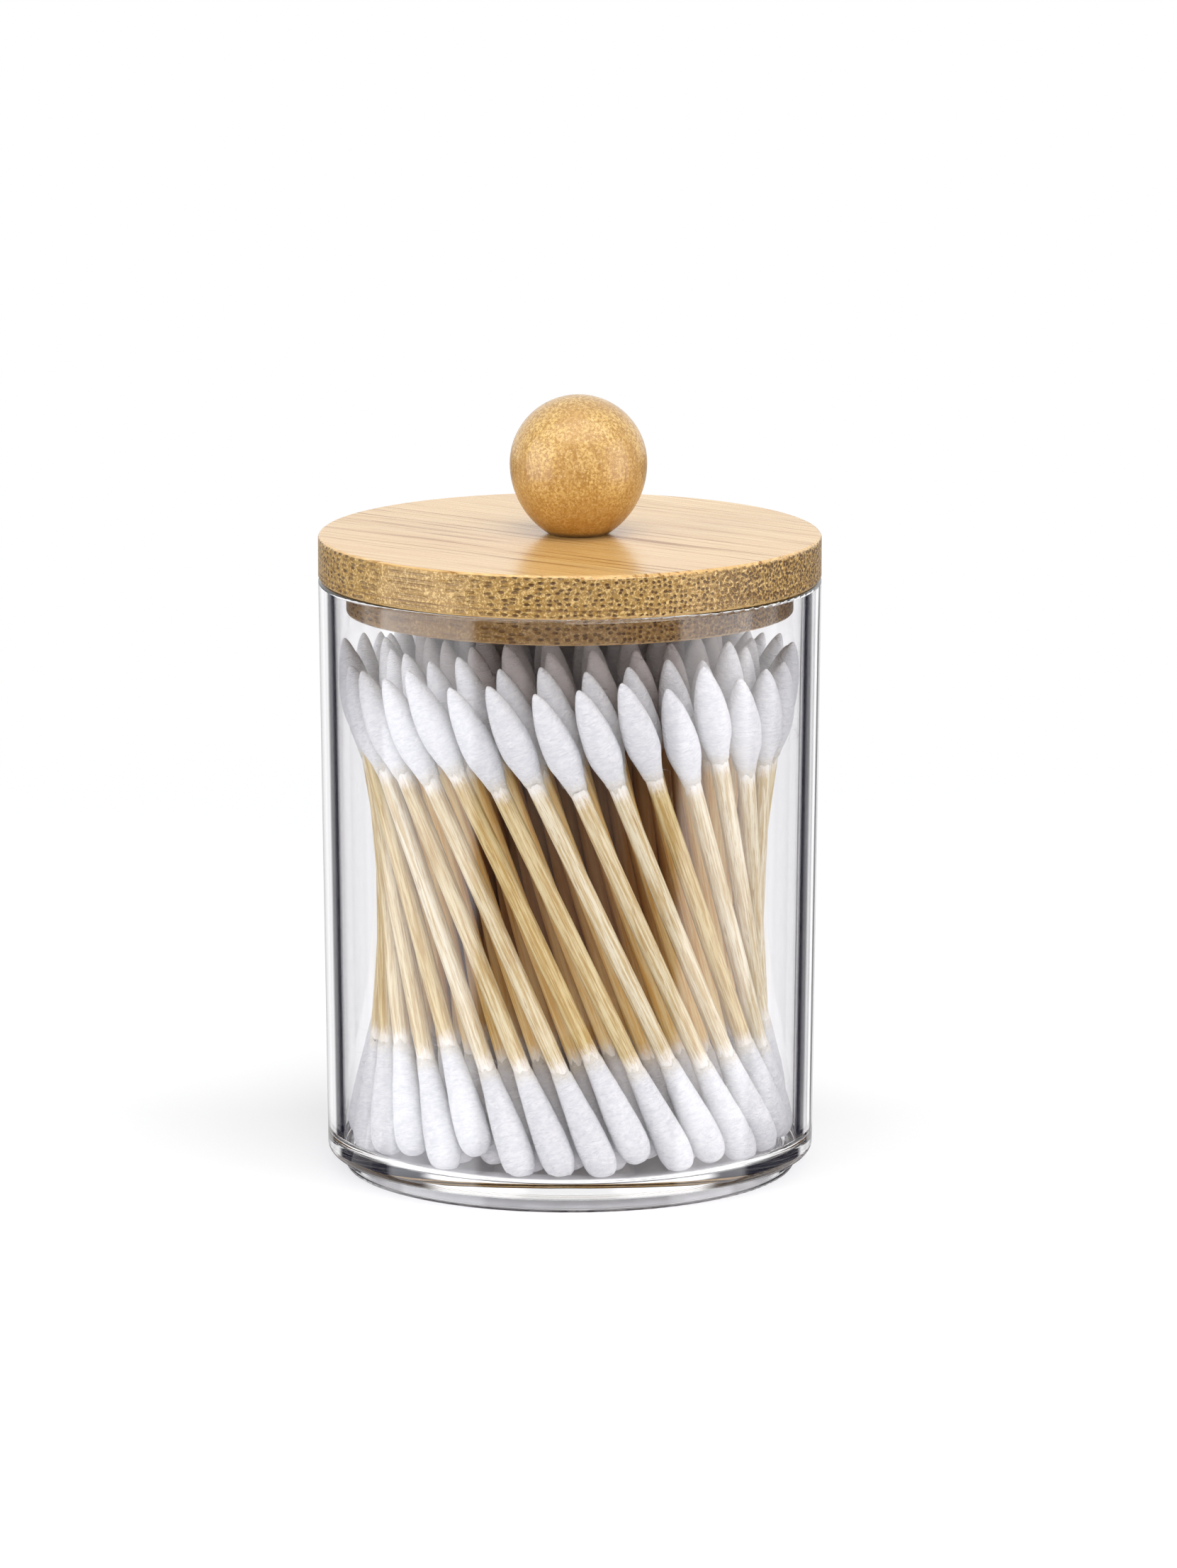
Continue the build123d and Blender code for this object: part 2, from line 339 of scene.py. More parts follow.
def screw_steel():
    """Brushed zinc-plated steel."""
    made, g = material("screw_steel")
    turning = g.noise(g.scaled(g.place_mm(), (0.4, 0.4, 6.0)), 3.0, 3.0)
    principled(
        g, Base_Color=g.blend(g.ramp(turning, 0.3, 0.7), SCREW_DEEP, SCREW_PALE), Metallic=1.0,
        Roughness=g.ramp(turning, 0.3, 0.7, 0.28, 0.42), Normal=g.bump(turning, 0.2, SCREW_BUMP),
    )
    return made


# Distances from the jar's axis between which sticks and buds further in get painted light and painted
# shade
PAINTED_SHADE_STICKS = (16.5, 20.0)
PAINTED_LIGHT_STICKS = (23.0, 24.8)
SHADED_COTTON = (21.0, 27.5)
STICK_BUMP = 0.06 * MM
COTTON_BUMP = 0.3 * MM
COTTON_GLOW_DEPTH = 0.5 * MM

STICK_PALES = (0.67, 0.54, 0.275), (0.80, 0.745, 0.585)
STICK_DEEPS = (0.46, 0.295, 0.09), (0.60, 0.465, 0.255)
STICK_LINE = (0.34, 0.18, 0.05)
STICK_PAINTED_LIGHT = (0.86, 0.52, 0.15), (0.97, 0.74, 0.34)
STICK_PAINTED_SHADE = (0.36, 0.145, 0.03)
STICK_HAZE = (0.90, 0.89, 0.87)
COTTON_WHITES = (0.885, 0.89, 0.90), (0.935, 0.935, 0.94)
COTTON_FIBRE_PAINTED_SHADE = (0.66, 0.665, 0.69)
COTTON_FOLD_PAINTED_SHADE = (0.72, 0.73, 0.77)
COTTON_SHADED = (0.54, 0.45, 0.41)
COTTON_THIN = (0.76, 0.66, 0.46)
HAIR_WHITES = (0.80, 0.80, 0.81), (0.93, 0.93, 0.93)


def cotton_depth(g, place, reach):
    """Millimetres past the place where the cotton starts, ragged by about this reach either way. Less than
    0 on the bare stick."""
    height = g.attribute("swab_height", "Fac")
    away = g.math("ABSOLUTE", g.math("SUBTRACT", height, BARE_MIDDLE / MM))
    depth = g.math("SUBTRACT", away, BARE_HALF / MM)
    hairs = g.noise(g.scaled(place, (2.2, 2.2, 0.5)), 2.4, 3.0, 0.7)
    return g.math("ADD", depth, g.math("MULTIPLY_ADD", hairs, 2 * reach, -reach))


def stick_bamboo():
    """Bamboo with lengthwise grain and its own tone on each stick, with a painted golden light and then
    painted brown shade towards the middle of the jar, and whitened by cotton at the ends."""
    made, g = material("stick_bamboo")
    place = g.attribute("swab_place")
    tone = g.attribute("swab_tone", "Fac")
    streak_place = g.scaled(place, (1.0, 1.0, 0.045))
    streak = g.noise(streak_place, 2.6, 4.0, 0.65)
    fine = g.noise(streak_place, 7.0, 2.0, 0.6)
    grain = g.ramp(streak, 0.38, 0.60)
    radius = g.axis_distance()
    colour = g.blend(grain, g.blend(tone, *STICK_DEEPS), g.blend(tone, *STICK_PALES))
    colour = g.blend(g.ramp(fine, 0.55, 0.68, 0.0, 0.6), colour, STICK_LINE)
    # Painted light: sticks further in, shaded by the outer row, are made brighter and golden
    colour = g.blend(g.ramp(radius, *PAINTED_LIGHT_STICKS, 0.85, 0.0), colour, g.blend(grain, *STICK_PAINTED_LIGHT))
    # Painted shade: the innermost sticks are made dark brown
    colour = g.blend(g.ramp(radius, *PAINTED_SHADE_STICKS, 0.8, 0.0), colour, STICK_PAINTED_SHADE)
    colour = g.blend(g.ramp(cotton_depth(g, place, 2.2), -2.6, 0.4, 0.0, 0.8), colour, STICK_HAZE)
    relief = g.math("MULTIPLY_ADD", fine, 0.5, streak)
    principled(
        g, Base_Color=colour, Roughness=0.55, Specular_IOR_Level=0.4,
        Normal=g.bump(relief, 0.4, STICK_BUMP),
    )
    return made


def cotton():
    """Bleached cotton wound round the stick: matt, soft, with fine fibre streaks and folds round the bud,
    greyed by painted shade in their hollows, and so thin at its neck that the stick shows through."""
    made, g = material("cotton")
    place = g.attribute("swab_place")
    fibre = g.noise(g.scaled(place, (0.55, 0.55, 2.6)), 2.2, 5.0, 0.68, 0.6)
    fold = g.noise(g.scaled(place, (0.8, 0.8, 1.9)), 0.95, 4.0, 0.6, 0.9)
    tuft = g.noise(place, 0.9, 3.0)
    colour = g.blend(g.ramp(tuft, 0.3, 0.7), *COTTON_WHITES)
    # Painted shade: grey in the hollows of the fibre streaks and of the folds
    colour = g.blend(g.ramp(fibre, 0.36, 0.52, 0.45, 0.0), colour, COTTON_FIBRE_PAINTED_SHADE)
    colour = g.blend(g.ramp(fold, 0.42, 0.53, 0.4, 0.0), colour, COTTON_FOLD_PAINTED_SHADE)
    colour = g.blend(g.ramp(g.axis_distance(), *SHADED_COTTON, 0.6, 0.0), colour, COTTON_SHADED)
    colour = g.blend(g.ramp(cotton_depth(g, place, 2.0), -0.8, 2.6, 0.62, 0.0), colour, COTTON_THIN)
    relief = g.math("MULTIPLY_ADD", fold, 1.6, g.math("ADD", fibre, tuft))
    principled(
        g, Base_Color=colour, Roughness=0.95, Specular_IOR_Level=0.15,
        Normal=g.bump(relief, 0.9, COTTON_BUMP), Sheen_Weight=0.2, Sheen_Roughness=0.6,
        Subsurface_Weight=0.2, Subsurface_Radius=(1.0, 1.0, 1.0), Subsurface_Scale=COTTON_GLOW_DEPTH,
    )
    return made


def loose_fibre():
    """Single cotton hairs, bright against the dark between the sticks."""
    made, g = material("loose_fibre")
    shade = g.noise(g.place_mm(), 1.5, 2.0)
    colour = g.blend(g.ramp(shade, 0.3, 0.7), *HAIR_WHITES)
    principled(g, Base_Color=colour, Roughness=0.7, Specular_IOR_Level=0.3)
    return made


# Vertices nearer than this are one
WELD = 1e-7


def islands(mesh):
    """Groups of places of a mesh's connected parts, with doubled vertices taken as one."""
    places = np.array([v.co for v in mesh.vertices], float)
    keys = {}
    cells = [tuple(cell) for cell in np.round(places / WELD).astype(int)]
    same = [keys.setdefault(cell, i) for i, cell in enumerate(cells)]
    root = list(range(len(places)))

    def top(i):
        while root[i] != i:
            root[i] = root[root[i]]
            i = root[i]
        return i

    for edge in mesh.edges:
        root[top(same[edge.vertices[0]])] = top(same[edge.vertices[1]])
    groups = {}
    for i in sorted(set(same)):
        groups.setdefault(top(i), []).append(places[i])
    return [np.array(group) for group in groups.values()]


def swab_frames(row):
    """For each swab of a row, the place of its round end and its direction, from its stick's mesh."""
    found = []
    for points in islands(nodes[f"row_{row}_sticks"].data):
        centre = points.mean(0)
        direction = np.linalg.eigh(np.cov((points - centre).T))[1][:, -1]
        direction *= math.copysign(1.0, direction[2])
        lowest = ((points - centre) @ direction).min()
        found.append((Vector(centre + direction * (lowest - STICK_LOW)), Vector(direction)))
    return sorted(found, key=lambda item: math.atan2(item[0].y, item[0].x))


def smooth_radius(profile):
    """Function that gives the radius at a distance from the bud's end. The square of it is smooth."""
    at = [place * MM for place, _ in profile]
    square = [(radius * MM) ** 2 for _, radius in profile]
    slopes = []
    for i in range(len(at)):
        low, high = max(i - 1, 0), min(i + 1, len(at) - 1)
        slopes.append((square[high] - square[low]) / (at[high] - at[low]))

    def radius(distance):
        i = 0
        while i < len(at) - 2 and distance > at[i + 1]:
            i += 1
        span = at[i + 1] - at[i]
        t = (distance - at[i]) / span
        value = (
            (2 * t**3 - 3 * t**2 + 1) * square[i]
            + (t**3 - 2 * t**2 + t) * span * slopes[i]
            + (3 * t**2 - 2 * t**3) * square[i + 1]
            + (t**3 - t**2) * span * slopes[i + 1]
        )
        return math.sqrt(max(value, 0.0))

    return radius


# Seeds of the random draws. A row's seed is this and the row's number
SWAB_SEED = 100
HAIR_SEED = 7
# The shifts that set the swabs' patterns apart reach this far, in millimetres
PATTERN_SHIFT = 50


class Swab:
    """One swab's frame: its foot, its axes and its own random tone and offset."""

    def __init__(self, foot, direction, draw):
        self.foot = foot
        self.turn = direction.to_track_quat("Z", "Y").to_matrix()
        self.tone = draw.random()
        self.offset = Vector([draw.uniform(0, PATTERN_SHIFT) for _ in range(3)])

    def world(self, local):
        return self.foot + self.turn @ local

    def own(self, local):
        """Place on the swab in millimetres, shifted so that no two swabs share a pattern."""
        return local / MM + self.offset


class PieceMaker:
    """Gathers the vertices and faces of one mesh. What belongs to a swab also keeps its place on the swab,
    the swab's tone and the height along it."""

    def __init__(self, name):
        self.name = name
        self.points = []
        self.faces = []
        self.own_places = []
        self.tones = []
        self.heights = []

    def add(self, swab, local):
        self.points.append(swab.world(local))
        self.own_places.append(swab.own(local))
        self.tones.append(swab.tone)
        self.heights.append(local.z / MM)
        return len(self.points) - 1

    def add_point(self, place):
        self.points.append(place)
        return len(self.points) - 1

    def join_rings(self, rings, turned=False):
        """Faces between each ring and the next. Turned faces look the other way."""
        for pair in zip(rings, rings[1:]):
            first, second = reversed(pair) if turned else pair
            for i in range(len(first)):
                j = (i + 1) % len(first)
                self.faces.append((first[i], first[j], second[j], second[i]))

    def close(self, ring, tip, outward):
        for i in range(len(ring)):
            j = (i + 1) % len(ring)
            self.faces.append((ring[i], tip, ring[j]) if outward else (ring[j], tip, ring[i]))

    def finish(self, surface):
        mesh = bpy.data.meshes.new(self.name)
        mesh.from_pydata(self.points, [], self.faces)
        mesh.materials.append(surface)
        if self.own_places:
            places = mesh.attributes.new("swab_place", "FLOAT_VECTOR", "POINT")
            places.data.foreach_set("vector", np.array(self.own_places, np.float32).ravel())
            for name, values in (("swab_tone", self.tones), ("swab_height", self.heights)):
                kept = mesh.attributes.new(name, "FLOAT", "POINT")
                kept.data.foreach_set("value", np.array(values, np.float32))
        mesh.shade_smooth()
        made = bpy.data.objects.new(self.name, mesh)
        bpy.context.scene.collection.objects.link(made)
        return made


def circle(radius, height, count):
    """Places round the swab's axis."""
    angles = (math.tau * i / count for i in range(count))
    return [Vector((radius * math.cos(a), radius * math.sin(a), height)) for a in angles]


STICK_SIDES = 16
STICK_RINGS = 12
# Share of its radius that a stick varies by, and how often it does so in a millimetre
STICK_UNEVEN = 0.02
STICK_WAVES = 0.35


def add_stick(piece, swab, start, end):
    """Stick with a slightly uneven thickness."""
    rings = []
    for i in range(STICK_RINGS + 1):
        height = start + (end - start) * i / STICK_RINGS
        ring = []
        for local in circle(STICK_RADIUS, height, STICK_SIDES):
            uneven = local * (1 + STICK_UNEVEN * noise.noise(swab.own(local) * STICK_WAVES))
            uneven.z = height
            ring.append(piece.add(swab, uneven))
        rings.append(ring)
    piece.join_rings(rings)
    piece.close(rings[0], piece.add(swab, Vector((0, 0, start))), True)
    piece.close(rings[-1], piece.add(swab, Vector((0, 0, end))), False)


# Cotton's unevenness, inside the room between neighbours
LUMP_HEIGHT = 0.06 * MM
LUMP_SIZE = 2.6 * MM
RIDGE_HEIGHT = 0.022 * MM
# Ridges are wide round the bud and close along it, in waves to a millimetre
RIDGE_WAVES = (0.5, 0.5, 2.0)
# The unevenness grows from nothing at the tip and is whole at this share of the bud's length
SMOOTH_TIP_SHARE = 1 / 6
# At its neck the cotton ends just inside the stick, along a ragged line
NECK_RADIUS = 0.98 * STICK_RADIUS
NECK_RAGGED = 1.3 * MM
NECK_WAVES = 2.1
# Rings and sides of a bud in the outer rows and in the others, and how the rings crowd towards the tip
OUTER_ROWS = 2
OUTER_BUD = (46, 32)
INNER_BUD = (26, 20)
TIP_CROWDING = 1.35


def cotton_bulge(swab, local, share):
    """How far the cotton stands proud of its smooth form: lumps, and ridges where it is wound."""
    own = swab.own(local)
    lump = noise.noise(own * (MM / LUMP_SIZE)) * LUMP_HEIGHT
    ridge = noise.noise(own * Vector(RIDGE_WAVES)) * RIDGE_HEIGHT
    return (lump + ridge) * min(share / SMOOTH_TIP_SHARE, 1.0)


def add_bud(piece, swab, profile, length, end, sign, fineness):
    """Cotton bud from its end towards its neck, where its edge is ragged on the stick. sign is 1 at the
    swab's upper end."""
    radius = smooth_radius(profile)
    ring_count, sides = fineness
    rings = []
    for i in range(1, ring_count + 1):
        share = (i / ring_count) ** TIP_CROWDING
        ring = []
        for out in circle(1.0, 0.0, sides):
            if i < ring_count:
                distance = length * share
                local = out * radius(distance) + Vector((0, 0, end - sign * distance))
                local += out * cotton_bulge(swab, local, share)
            else:
                distance = length + NECK_RAGGED * noise.noise(out * NECK_WAVES + swab.offset)
                local = out * NECK_RADIUS + Vector((0, 0, end - sign * distance))
            ring.append(piece.add(swab, local))
        rings.append(ring)
    piece.close(rings[0], piece.add(swab, Vector((0, 0, end))), sign < 0)
    piece.join_rings(rings, turned=sign > 0)


def make_swabs(row, cotton_surface, stick_surface):
    """The three pieces of one row, in place of its solids."""
    draw = random.Random(SWAB_SEED + row)
    swabs = [Swab(foot, direction, draw) for foot, direction in swab_frames(row)]
    fineness = OUTER_BUD if row <= OUTER_ROWS else INNER_BUD
    sticks = PieceMaker(f"sticks_{row}")
    pointed = PieceMaker(f"pointed_cotton_{row}")
    round_ends = PieceMaker(f"round_cotton_{row}")
    for swab in swabs:
        add_stick(sticks, swab, STICK_LOW, STICK_HIGH)
        add_bud(pointed, swab, POINTED_PROFILE, POINTED_LENGTH, SWAB_LENGTH, 1, fineness)
        add_bud(round_ends, swab, ROUND_PROFILE, ROUND_LENGTH, 0.0, -1, fineness)
    for piece, surface, kind, slot in (
        (sticks, stick_surface, "sticks", "stick_bamboo"),
        (pointed, cotton_surface, "pointed_buds", "cotton"),
        (round_ends, cotton_surface, "round_buds", "cotton"),
    ):
        made = piece.finish(surface)
        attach(made, "jar")
        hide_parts(f"row_{row}_{kind}")


# Loose hairs. They taper by this share and bend at random at each step
FIBRE_RADIUS = 0.022 * MM
FIBRE_TAPER_SHARE = 0.6
FIBRE_STEPS = 9
FIBRE_SIDES = 4
FIBRE_WANDER = 0.5
# Hairs to a swab. They start at these shares of the round bud's length from the swab's end, and their
# lengths are in millimetres
HAIRS = 7
HAIR_START_SHARES = (0.45, 1.08)
HAIR_LENGTHS = (1.2, 3.6)
HAIR_CURLS = (0.25, 0.6)
# How far they head along the swab and out from it, to one round it
HAIR_ALONG = (-0.9, 0.9)
HAIR_OUTWARD = (0.05, 0.45)
# Wisps on the wall: distance from the axis, then bearing, height, size and number of hairs of each
WISP_RADIUS = 31.9 * MM
WISPS = ((-88.0, 66.0 * MM, 2.6 * MM, 9), (-86.0, 61.5 * MM, 1.8 * MM, 6), (86.0, 62.0 * MM, 2.2 * MM, 8))
WISP_SPREAD_SHARE = 0.35
WISP_LENGTH_SHARES = (0.8, 1.8)
WISP_CURLS = (0.4, 0.8)


def add_fibre(piece, start, heading, length, curl, draw):
    """One loose hair: a thin tube that wanders from its start."""
    point, rings = Vector(start), []
    heading = heading.normalized()
    bend = Vector([draw.uniform(-1, 1) for _ in range(3)])
    for i in range(FIBRE_STEPS + 1):
        side = heading.cross(bend).normalized()
        up = heading.cross(side)
        thick = FIBRE_RADIUS * (1 - FIBRE_TAPER_SHARE * i / FIBRE_STEPS)
        outward = [side * place.x + up * place.y for place in circle(1.0, 0.0, FIBRE_SIDES)]
        rings.append([piece.add_point(point + out * thick) for out in outward])
        point = point + heading * (length / FIBRE_STEPS)
        bend = (bend + Vector([draw.gauss(0, FIBRE_WANDER) for _ in range(3)])).normalized()
        heading = (heading + bend * curl).normalized()
    piece.join_rings(rings)


def add_neck_fibres(piece, swab, draw):
    """Hairs that have come loose from a swab's two necks and buds."""
    pointed, blunt = smooth_radius(POINTED_PROFILE), smooth_radius(ROUND_PROFILE)
    for _ in range(HAIRS):
        high = draw.random() < 0.5
        distance = draw.uniform(*HAIR_START_SHARES) * ROUND_LENGTH
        surface = pointed if high else blunt
        on_cotton = distance < (POINTED_LENGTH if high else ROUND_LENGTH)
        radius = surface(distance) if on_cotton else STICK_RADIUS
        a = draw.uniform(0, math.tau)
        out = Vector((math.cos(a), math.sin(a), 0))
        height = SWAB_LENGTH - distance if high else distance
        start = swab.world(out * radius + Vector((0, 0, height)))
        along = Vector((-out.y, out.x, draw.uniform(*HAIR_ALONG)))
        heading = swab.turn @ (along + out * draw.uniform(*HAIR_OUTWARD))
        length = draw.uniform(*HAIR_LENGTHS) * MM
        add_fibre(piece, start, heading, length, draw.uniform(*HAIR_CURLS), draw)


def add_wisp(piece, bearing, height, size, count, draw):
    """A wisp of cotton that clings to the inside of the wall."""
    a = math.radians(bearing)
    out = Vector((math.sin(a), -math.cos(a), 0))
    round_wall = Vector((math.cos(a), math.sin(a), 0))
    for _ in range(count):
        across = draw.gauss(0, WISP_SPREAD_SHARE) * size
        up = draw.gauss(0, WISP_SPREAD_SHARE) * size
        start = out * WISP_RADIUS + round_wall * across + Vector((0, 0, height + up))
        heading = round_wall * draw.uniform(-1, 1) + Vector((0, 0, draw.uniform(-1, 1)))
        length = draw.uniform(*WISP_LENGTH_SHARES) * size
        add_fibre(piece, start, heading, length, draw.uniform(*WISP_CURLS), draw)


def make_fibres():
    """Loose hairs on the outer rows, and wisps on the wall near the pointed ends."""
    draw = random.Random(HAIR_SEED)
    piece = PieceMaker("loose_fibres")
    for row in range(1, OUTER_ROWS + 1):
        for foot, direction in swab_frames(row):
            add_neck_fibres(piece, Swab(foot, direction, draw), draw)
    for wisp in WISPS:
        add_wisp(piece, *wisp, draw)
    made = piece.finish(loose_fibre())
    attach(made, "jar")


def dress(node, surface):
    """Gives a solid its finish."""
    mesh = nodes[node].data
    mesh.materials.clear()
    mesh.materials.append(surface)


dress("jar", clear_plastic())
dress("lid", bamboo_board())
dress("knob", knob_wood())
dress("knob_screw", screw_steel())

cotton_surface = cotton()
stick_surface = stick_bamboo()
row_count = sum(name.endswith("_sticks") for name in nodes)
for row in range(1, row_count + 1):
    make_swabs(row, cotton_surface, stick_surface)
make_fibres()

WHITE = (1.0, 1.0, 1.0)
# Floor in metres, and distances from the jar's axis between which it turns into white backdrop for the
# camera, and clear for glass, which sees the floor under the foot only
FLOOR_SIZE = 6.0
FLOOR_FADE = (110.0, 330.0)
FOOT_EDGE = (28.4, 29.2)
FLOOR_COLOUR = (0.8, 0.8, 0.8, 1.0)
FLOOR_LIFT_GLASS = 0.06
FLOOR_LIFT_CAMERA = 0.15


def make_floor():
    """Pale floor that keeps the jar's shadow, lifted a little for the camera and for glass. Further out it
    is as white as the backdrop."""
    made, g = material("floor_white")
    camera_ray = g.light_path("Is Camera Ray")
    glass_ray = g.light_path("Is Transmission Ray")
    radius = g.axis_distance()
    diffuse = g.add("ShaderNodeBsdfDiffuse", {"Color": FLOOR_COLOUR})
    lift = g.math("MULTIPLY", glass_ray, FLOOR_LIFT_GLASS)
    lift = g.math("MULTIPLY_ADD", camera_ray, FLOOR_LIFT_CAMERA, lift)
    glow = g.add("ShaderNodeEmission", {"Color": (*WHITE, 1.0), "Strength": lift})
    near = g.add("ShaderNodeAddShader", {0: diffuse.outputs[0], 1: glow.outputs[0]})
    backdrop = g.add("ShaderNodeEmission", {"Color": (*WHITE, 1.0), "Strength": 1.0})
    away = g.math("MULTIPLY", g.ramp(radius, *FLOOR_FADE), camera_ray)
    faded = g.add("ShaderNodeMixShader", {0: away, 1: near.outputs[0], 2: backdrop.outputs[0]})
    beyond = g.math("MULTIPLY", g.ramp(radius, *FOOT_EDGE), glass_ray)
    clear = g.add("ShaderNodeBsdfTransparent", {"Color": (*WHITE, 1.0)})
    mixed = g.add("ShaderNodeMixShader", {0: beyond, 1: faded.outputs[0], 2: clear.outputs[0]})
    g.add("ShaderNodeOutputMaterial", {"Surface": mixed.outputs[0]})
    bpy.ops.mesh.primitive_plane_add(size=FLOOR_SIZE, location=(0, 0, 0))
    floor = bpy.context.object
    floor.name = "floor"
    floor.data.materials.append(made)
    floor.visible_glossy = False


# What glass sees: white panels and dark flags, a quarter turn apart. Pairs are the degrees from a panel's
# middle, or the direction's z, at which a change starts and ends
HALF_STEP = 45.0
PANEL_RISE = (6.0, 11.0)
PANEL_STRENGTHS = (0.97, 1.32)
FLAG_RISE = (22.0, 27.5)
FLAG_COLOUR = (0.009, 0.008, 0.016)
FLAG_TOP_FADE = (0.5, 0.6)
# Steeper down than this the pattern is half a step on, and the camera's own side isn't dim
STEEP_DOWN = (-0.245, -0.238)
# The camera's own side is dim at the heights that the jar sends back to it
DIM_SIDE_FADE = (70.0, 100.0)
DIM_TOP_FADE = (-0.13, -0.10)
DIM_SHARE = 0.85
DIM_COLOUR = (0.05, 0.045, 0.05)

# What gloss sees: a dim front and a white back, the flags again low down, and three soft boxes
BACK_RISE = (100.0, 130.0)
GLOSS_FRONT = (0.26, 0.25, 0.25)
GLOSS_FLAG_FADE = (-0.08, -0.04)
GLOSS_FLAG_SHARES = (0.45, 1.0)
GLOSS_FLAG_COLOUR = (0.03, 0.028, 0.045)
BOX_TOP_FADE = (0.45, 0.6)
BOX_SOFTNESS = 3.0
LEFT_BOX = (-96.0, -45.0)
LEFT_BOX_COLOUR = (3.1, 3.2, 3.4)
RIGHT_BOX = (52.0, 92.0)
RIGHT_BOX_COLOUR = (3.1, 3.1, 3.2)
TOP_BOX_RISE = (0.58, 0.75)
TOP_BOX_BACK_FADE = (-0.1, 0.1)
TOP_BOX_COLOUR = (3.4, 3.3, 3.2)
PLAIN_LIGHT = (0.64, 0.645, 0.66)


def glass_backdrop(g, z, degrees, folded):
    """White panels and dark flags, which give the clear wall its dark lines."""
    panel = g.ramp(folded, *PANEL_RISE, *PANEL_STRENGTHS)
    low_enough = g.ramp(g.math("ABSOLUTE", z), *FLAG_TOP_FADE, 1.0, 0.0)
    flag = g.math("MULTIPLY", g.ramp(folded, *FLAG_RISE), low_enough)
    seen = g.blend(flag, g.join(panel, panel, panel), FLAG_COLOUR)
    dim = g.ramp(g.math("ABSOLUTE", degrees), *DIM_SIDE_FADE, DIM_SHARE, 0.0)
    dim = g.math("MULTIPLY", dim, g.ramp(z, *STEEP_DOWN))
    dim = g.math("MULTIPLY", dim, g.ramp(z, *DIM_TOP_FADE, 1.0, 0.0))
    return g.blend(dim, seen, DIM_COLOUR)


def bearing_strip(g, degrees, low, high):
    """1 between two bearings, otherwise 0."""
    rise = g.ramp(degrees, low - BOX_SOFTNESS, low + BOX_SOFTNESS)
    return g.math("MULTIPLY", rise, g.ramp(degrees, high - BOX_SOFTNESS, high + BOX_SOFTNESS, 1.0, 0.0))


def gloss_backdrop(g, direction, degrees, folded):
    """What shows in the varnish and on the outside of the wall."""
    z = direction[2]
    seen = g.blend(g.ramp(g.math("ABSOLUTE", degrees), *BACK_RISE), GLOSS_FRONT, WHITE)
    flag = g.ramp(folded, *FLAG_RISE, *GLOSS_FLAG_SHARES)
    flag = g.math("MULTIPLY", flag, g.ramp(z, *GLOSS_FLAG_FADE, 1.0, 0.0))
    seen = g.blend(flag, seen, GLOSS_FLAG_COLOUR)
    box_height = g.ramp(g.math("ABSOLUTE", z), *BOX_TOP_FADE, 1.0, 0.0)
    for bearings, colour in ((LEFT_BOX, LEFT_BOX_COLOUR), (RIGHT_BOX, RIGHT_BOX_COLOUR)):
        box = g.math("MULTIPLY", bearing_strip(g, degrees, *bearings), box_height)
        seen = g.blend(box, seen, colour)
    in_front = g.ramp(direction[1], *TOP_BOX_BACK_FADE, 1.0, 0.0)
    top_box = g.math("MULTIPLY", g.ramp(z, *TOP_BOX_RISE), in_front)
    return g.blend(top_box, seen, TOP_BOX_COLOUR)


def make_world():
    """White backdrop for the camera, plain light, and a backdrop each for glass and for gloss."""
    world = bpy.data.worlds.new("studio")
    bpy.context.scene.world = world
    world.use_nodes = True
    g = Graph(world.node_tree)
    direction = g.split(g.add("ShaderNodeTexCoord").outputs["Generated"])
    bearing = g.math("ARCTAN2", direction[0], g.math("MULTIPLY", direction[1], -1.0))
    degrees = g.math("MULTIPLY", bearing, math.degrees(1.0))
    half_step_on = g.ramp(direction[2], *STEEP_DOWN, HALF_STEP, 0.0)
    folded = g.math("PINGPONG", g.math("ADD", degrees, half_step_on), HALF_STEP)

    in_glass = glass_backdrop(g, direction[2], degrees, folded)
    in_gloss = gloss_backdrop(g, direction, degrees, folded)
    colour = g.blend(g.light_path("Is Glossy Ray"), PLAIN_LIGHT, in_gloss)
    colour = g.blend(g.light_path("Is Transmission Ray"), colour, in_glass)
    colour = g.blend(g.light_path("Is Camera Ray"), colour, WHITE)
    background = g.add("ShaderNodeBackground", {"Color": colour, "Strength": 1.0})
    g.add("ShaderNodeOutputWorld", {"Surface": background.outputs[0]})


# Lamps look at the jar's middle, and their bearing and rise are seen from there
LAMP_AIM = Vector((0.0, 0.0, 50.0 * MM))


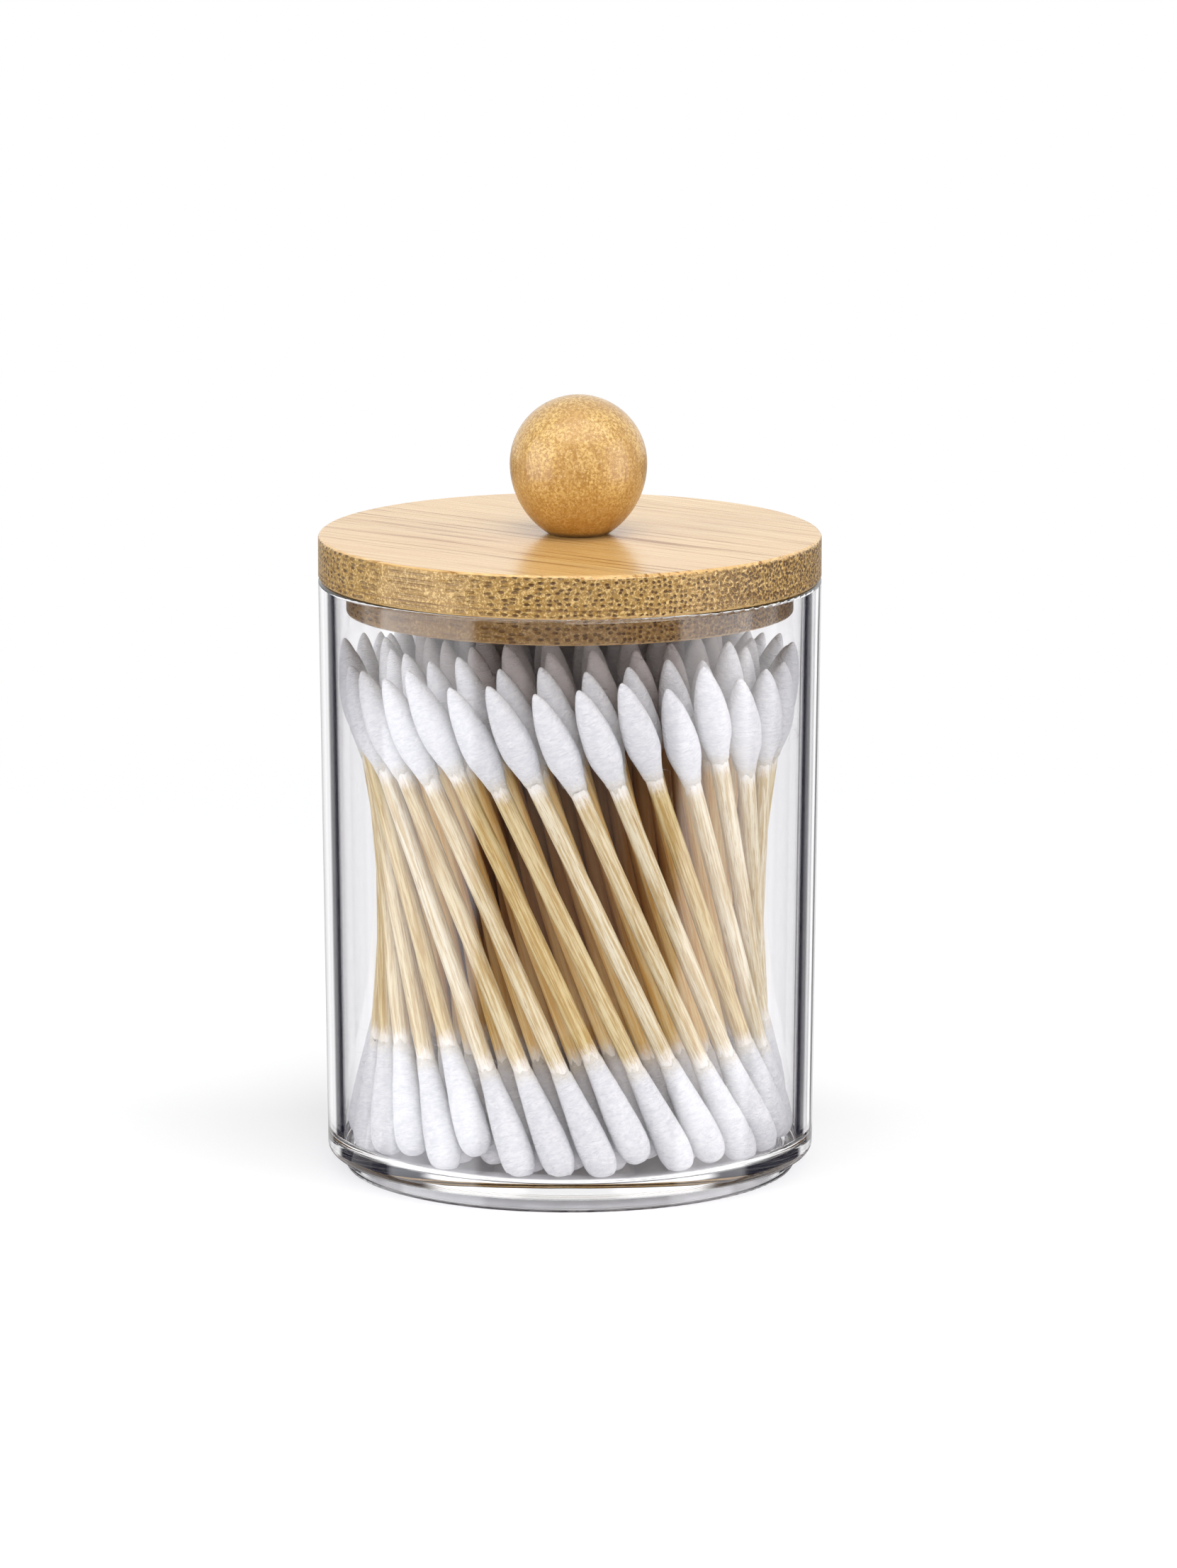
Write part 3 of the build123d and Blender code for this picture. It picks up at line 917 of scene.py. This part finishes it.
def add_soft_box(name, bearing, rise, distance, width, height, power, tint=WHITE):
    """Area lamp that neither the camera nor gloss nor glass sees."""
    lamp = bpy.data.lights.new(name, "AREA")
    lamp.shape = "RECTANGLE"
    lamp.size, lamp.size_y = width, height
    lamp.energy = power
    lamp.color = tint
    made = bpy.data.objects.new(name, lamp)
    made.visible_camera = False
    made.visible_glossy = False
    made.visible_transmission = False
    bpy.context.scene.collection.objects.link(made)
    a, e = math.radians(bearing), math.radians(rise)
    away = Vector((math.sin(a) * math.cos(e), -math.cos(a) * math.cos(e), math.sin(e)))
    made.location = LAMP_AIM + away * distance
    made.rotation_mode = "QUATERNION"
    made.rotation_quaternion = away.to_track_quat("Z", "Y")


# Camera, fitted to the lid's and the foot's ellipses
CAMERA_PLACE = (0.0, -1339.24 * MM, 316.32 * MM)
CAMERA_PITCH = math.radians(11.083)
CAMERA_YAW = math.radians(0.111)
CAMERA_NEAR = 0.05
CAMERA_FAR = 20.0
SENSOR = 36.0
FOCAL_PIXELS = 13789.6
FRAME_HEIGHT_PIXELS = 2212


def make_camera():
    """The photograph's camera."""
    camera = bpy.data.cameras.new("camera")
    camera.sensor_width = SENSOR
    camera.lens = FOCAL_PIXELS * SENSOR / FRAME_HEIGHT_PIXELS
    camera.clip_start, camera.clip_end = CAMERA_NEAR, CAMERA_FAR
    made = bpy.data.objects.new("camera", camera)
    bpy.context.scene.collection.objects.link(made)
    look = Vector((
        math.sin(CAMERA_YAW) * math.cos(CAMERA_PITCH),
        math.cos(CAMERA_YAW) * math.cos(CAMERA_PITCH),
        -math.sin(CAMERA_PITCH),
    ))
    made.location = CAMERA_PLACE
    made.rotation_mode = "QUATERNION"
    made.rotation_quaternion = look.to_track_quat("-Z", "Y")
    bpy.context.scene.camera = made


make_floor()
make_world()
add_soft_box(
    "soft_box_left", bearing=-70, rise=18, distance=0.9, width=0.55, height=0.9, power=3.8,
    tint=(0.96, 0.98, 1.0),
)
add_soft_box(
    "soft_box_right", bearing=72, rise=22, distance=0.9, width=0.5, height=0.9, power=2.9,
    tint=(1.0, 0.98, 0.96),
)
add_soft_box("soft_box_top", bearing=15, rise=68, distance=0.9, width=0.5, height=0.5, power=3.0)
add_soft_box("soft_box_front", bearing=4, rise=14, distance=1.0, width=0.5, height=0.5, power=3.0)
make_camera()
bpy.context.scene.view_settings.view_transform = "Standard"
# Light goes up and down in the jar's clear floor several times before it leaves
bpy.context.scene.cycles.max_bounces = 24
bpy.context.scene.cycles.glossy_bounces = 16
bpy.context.scene.cycles.transmission_bounces = 24
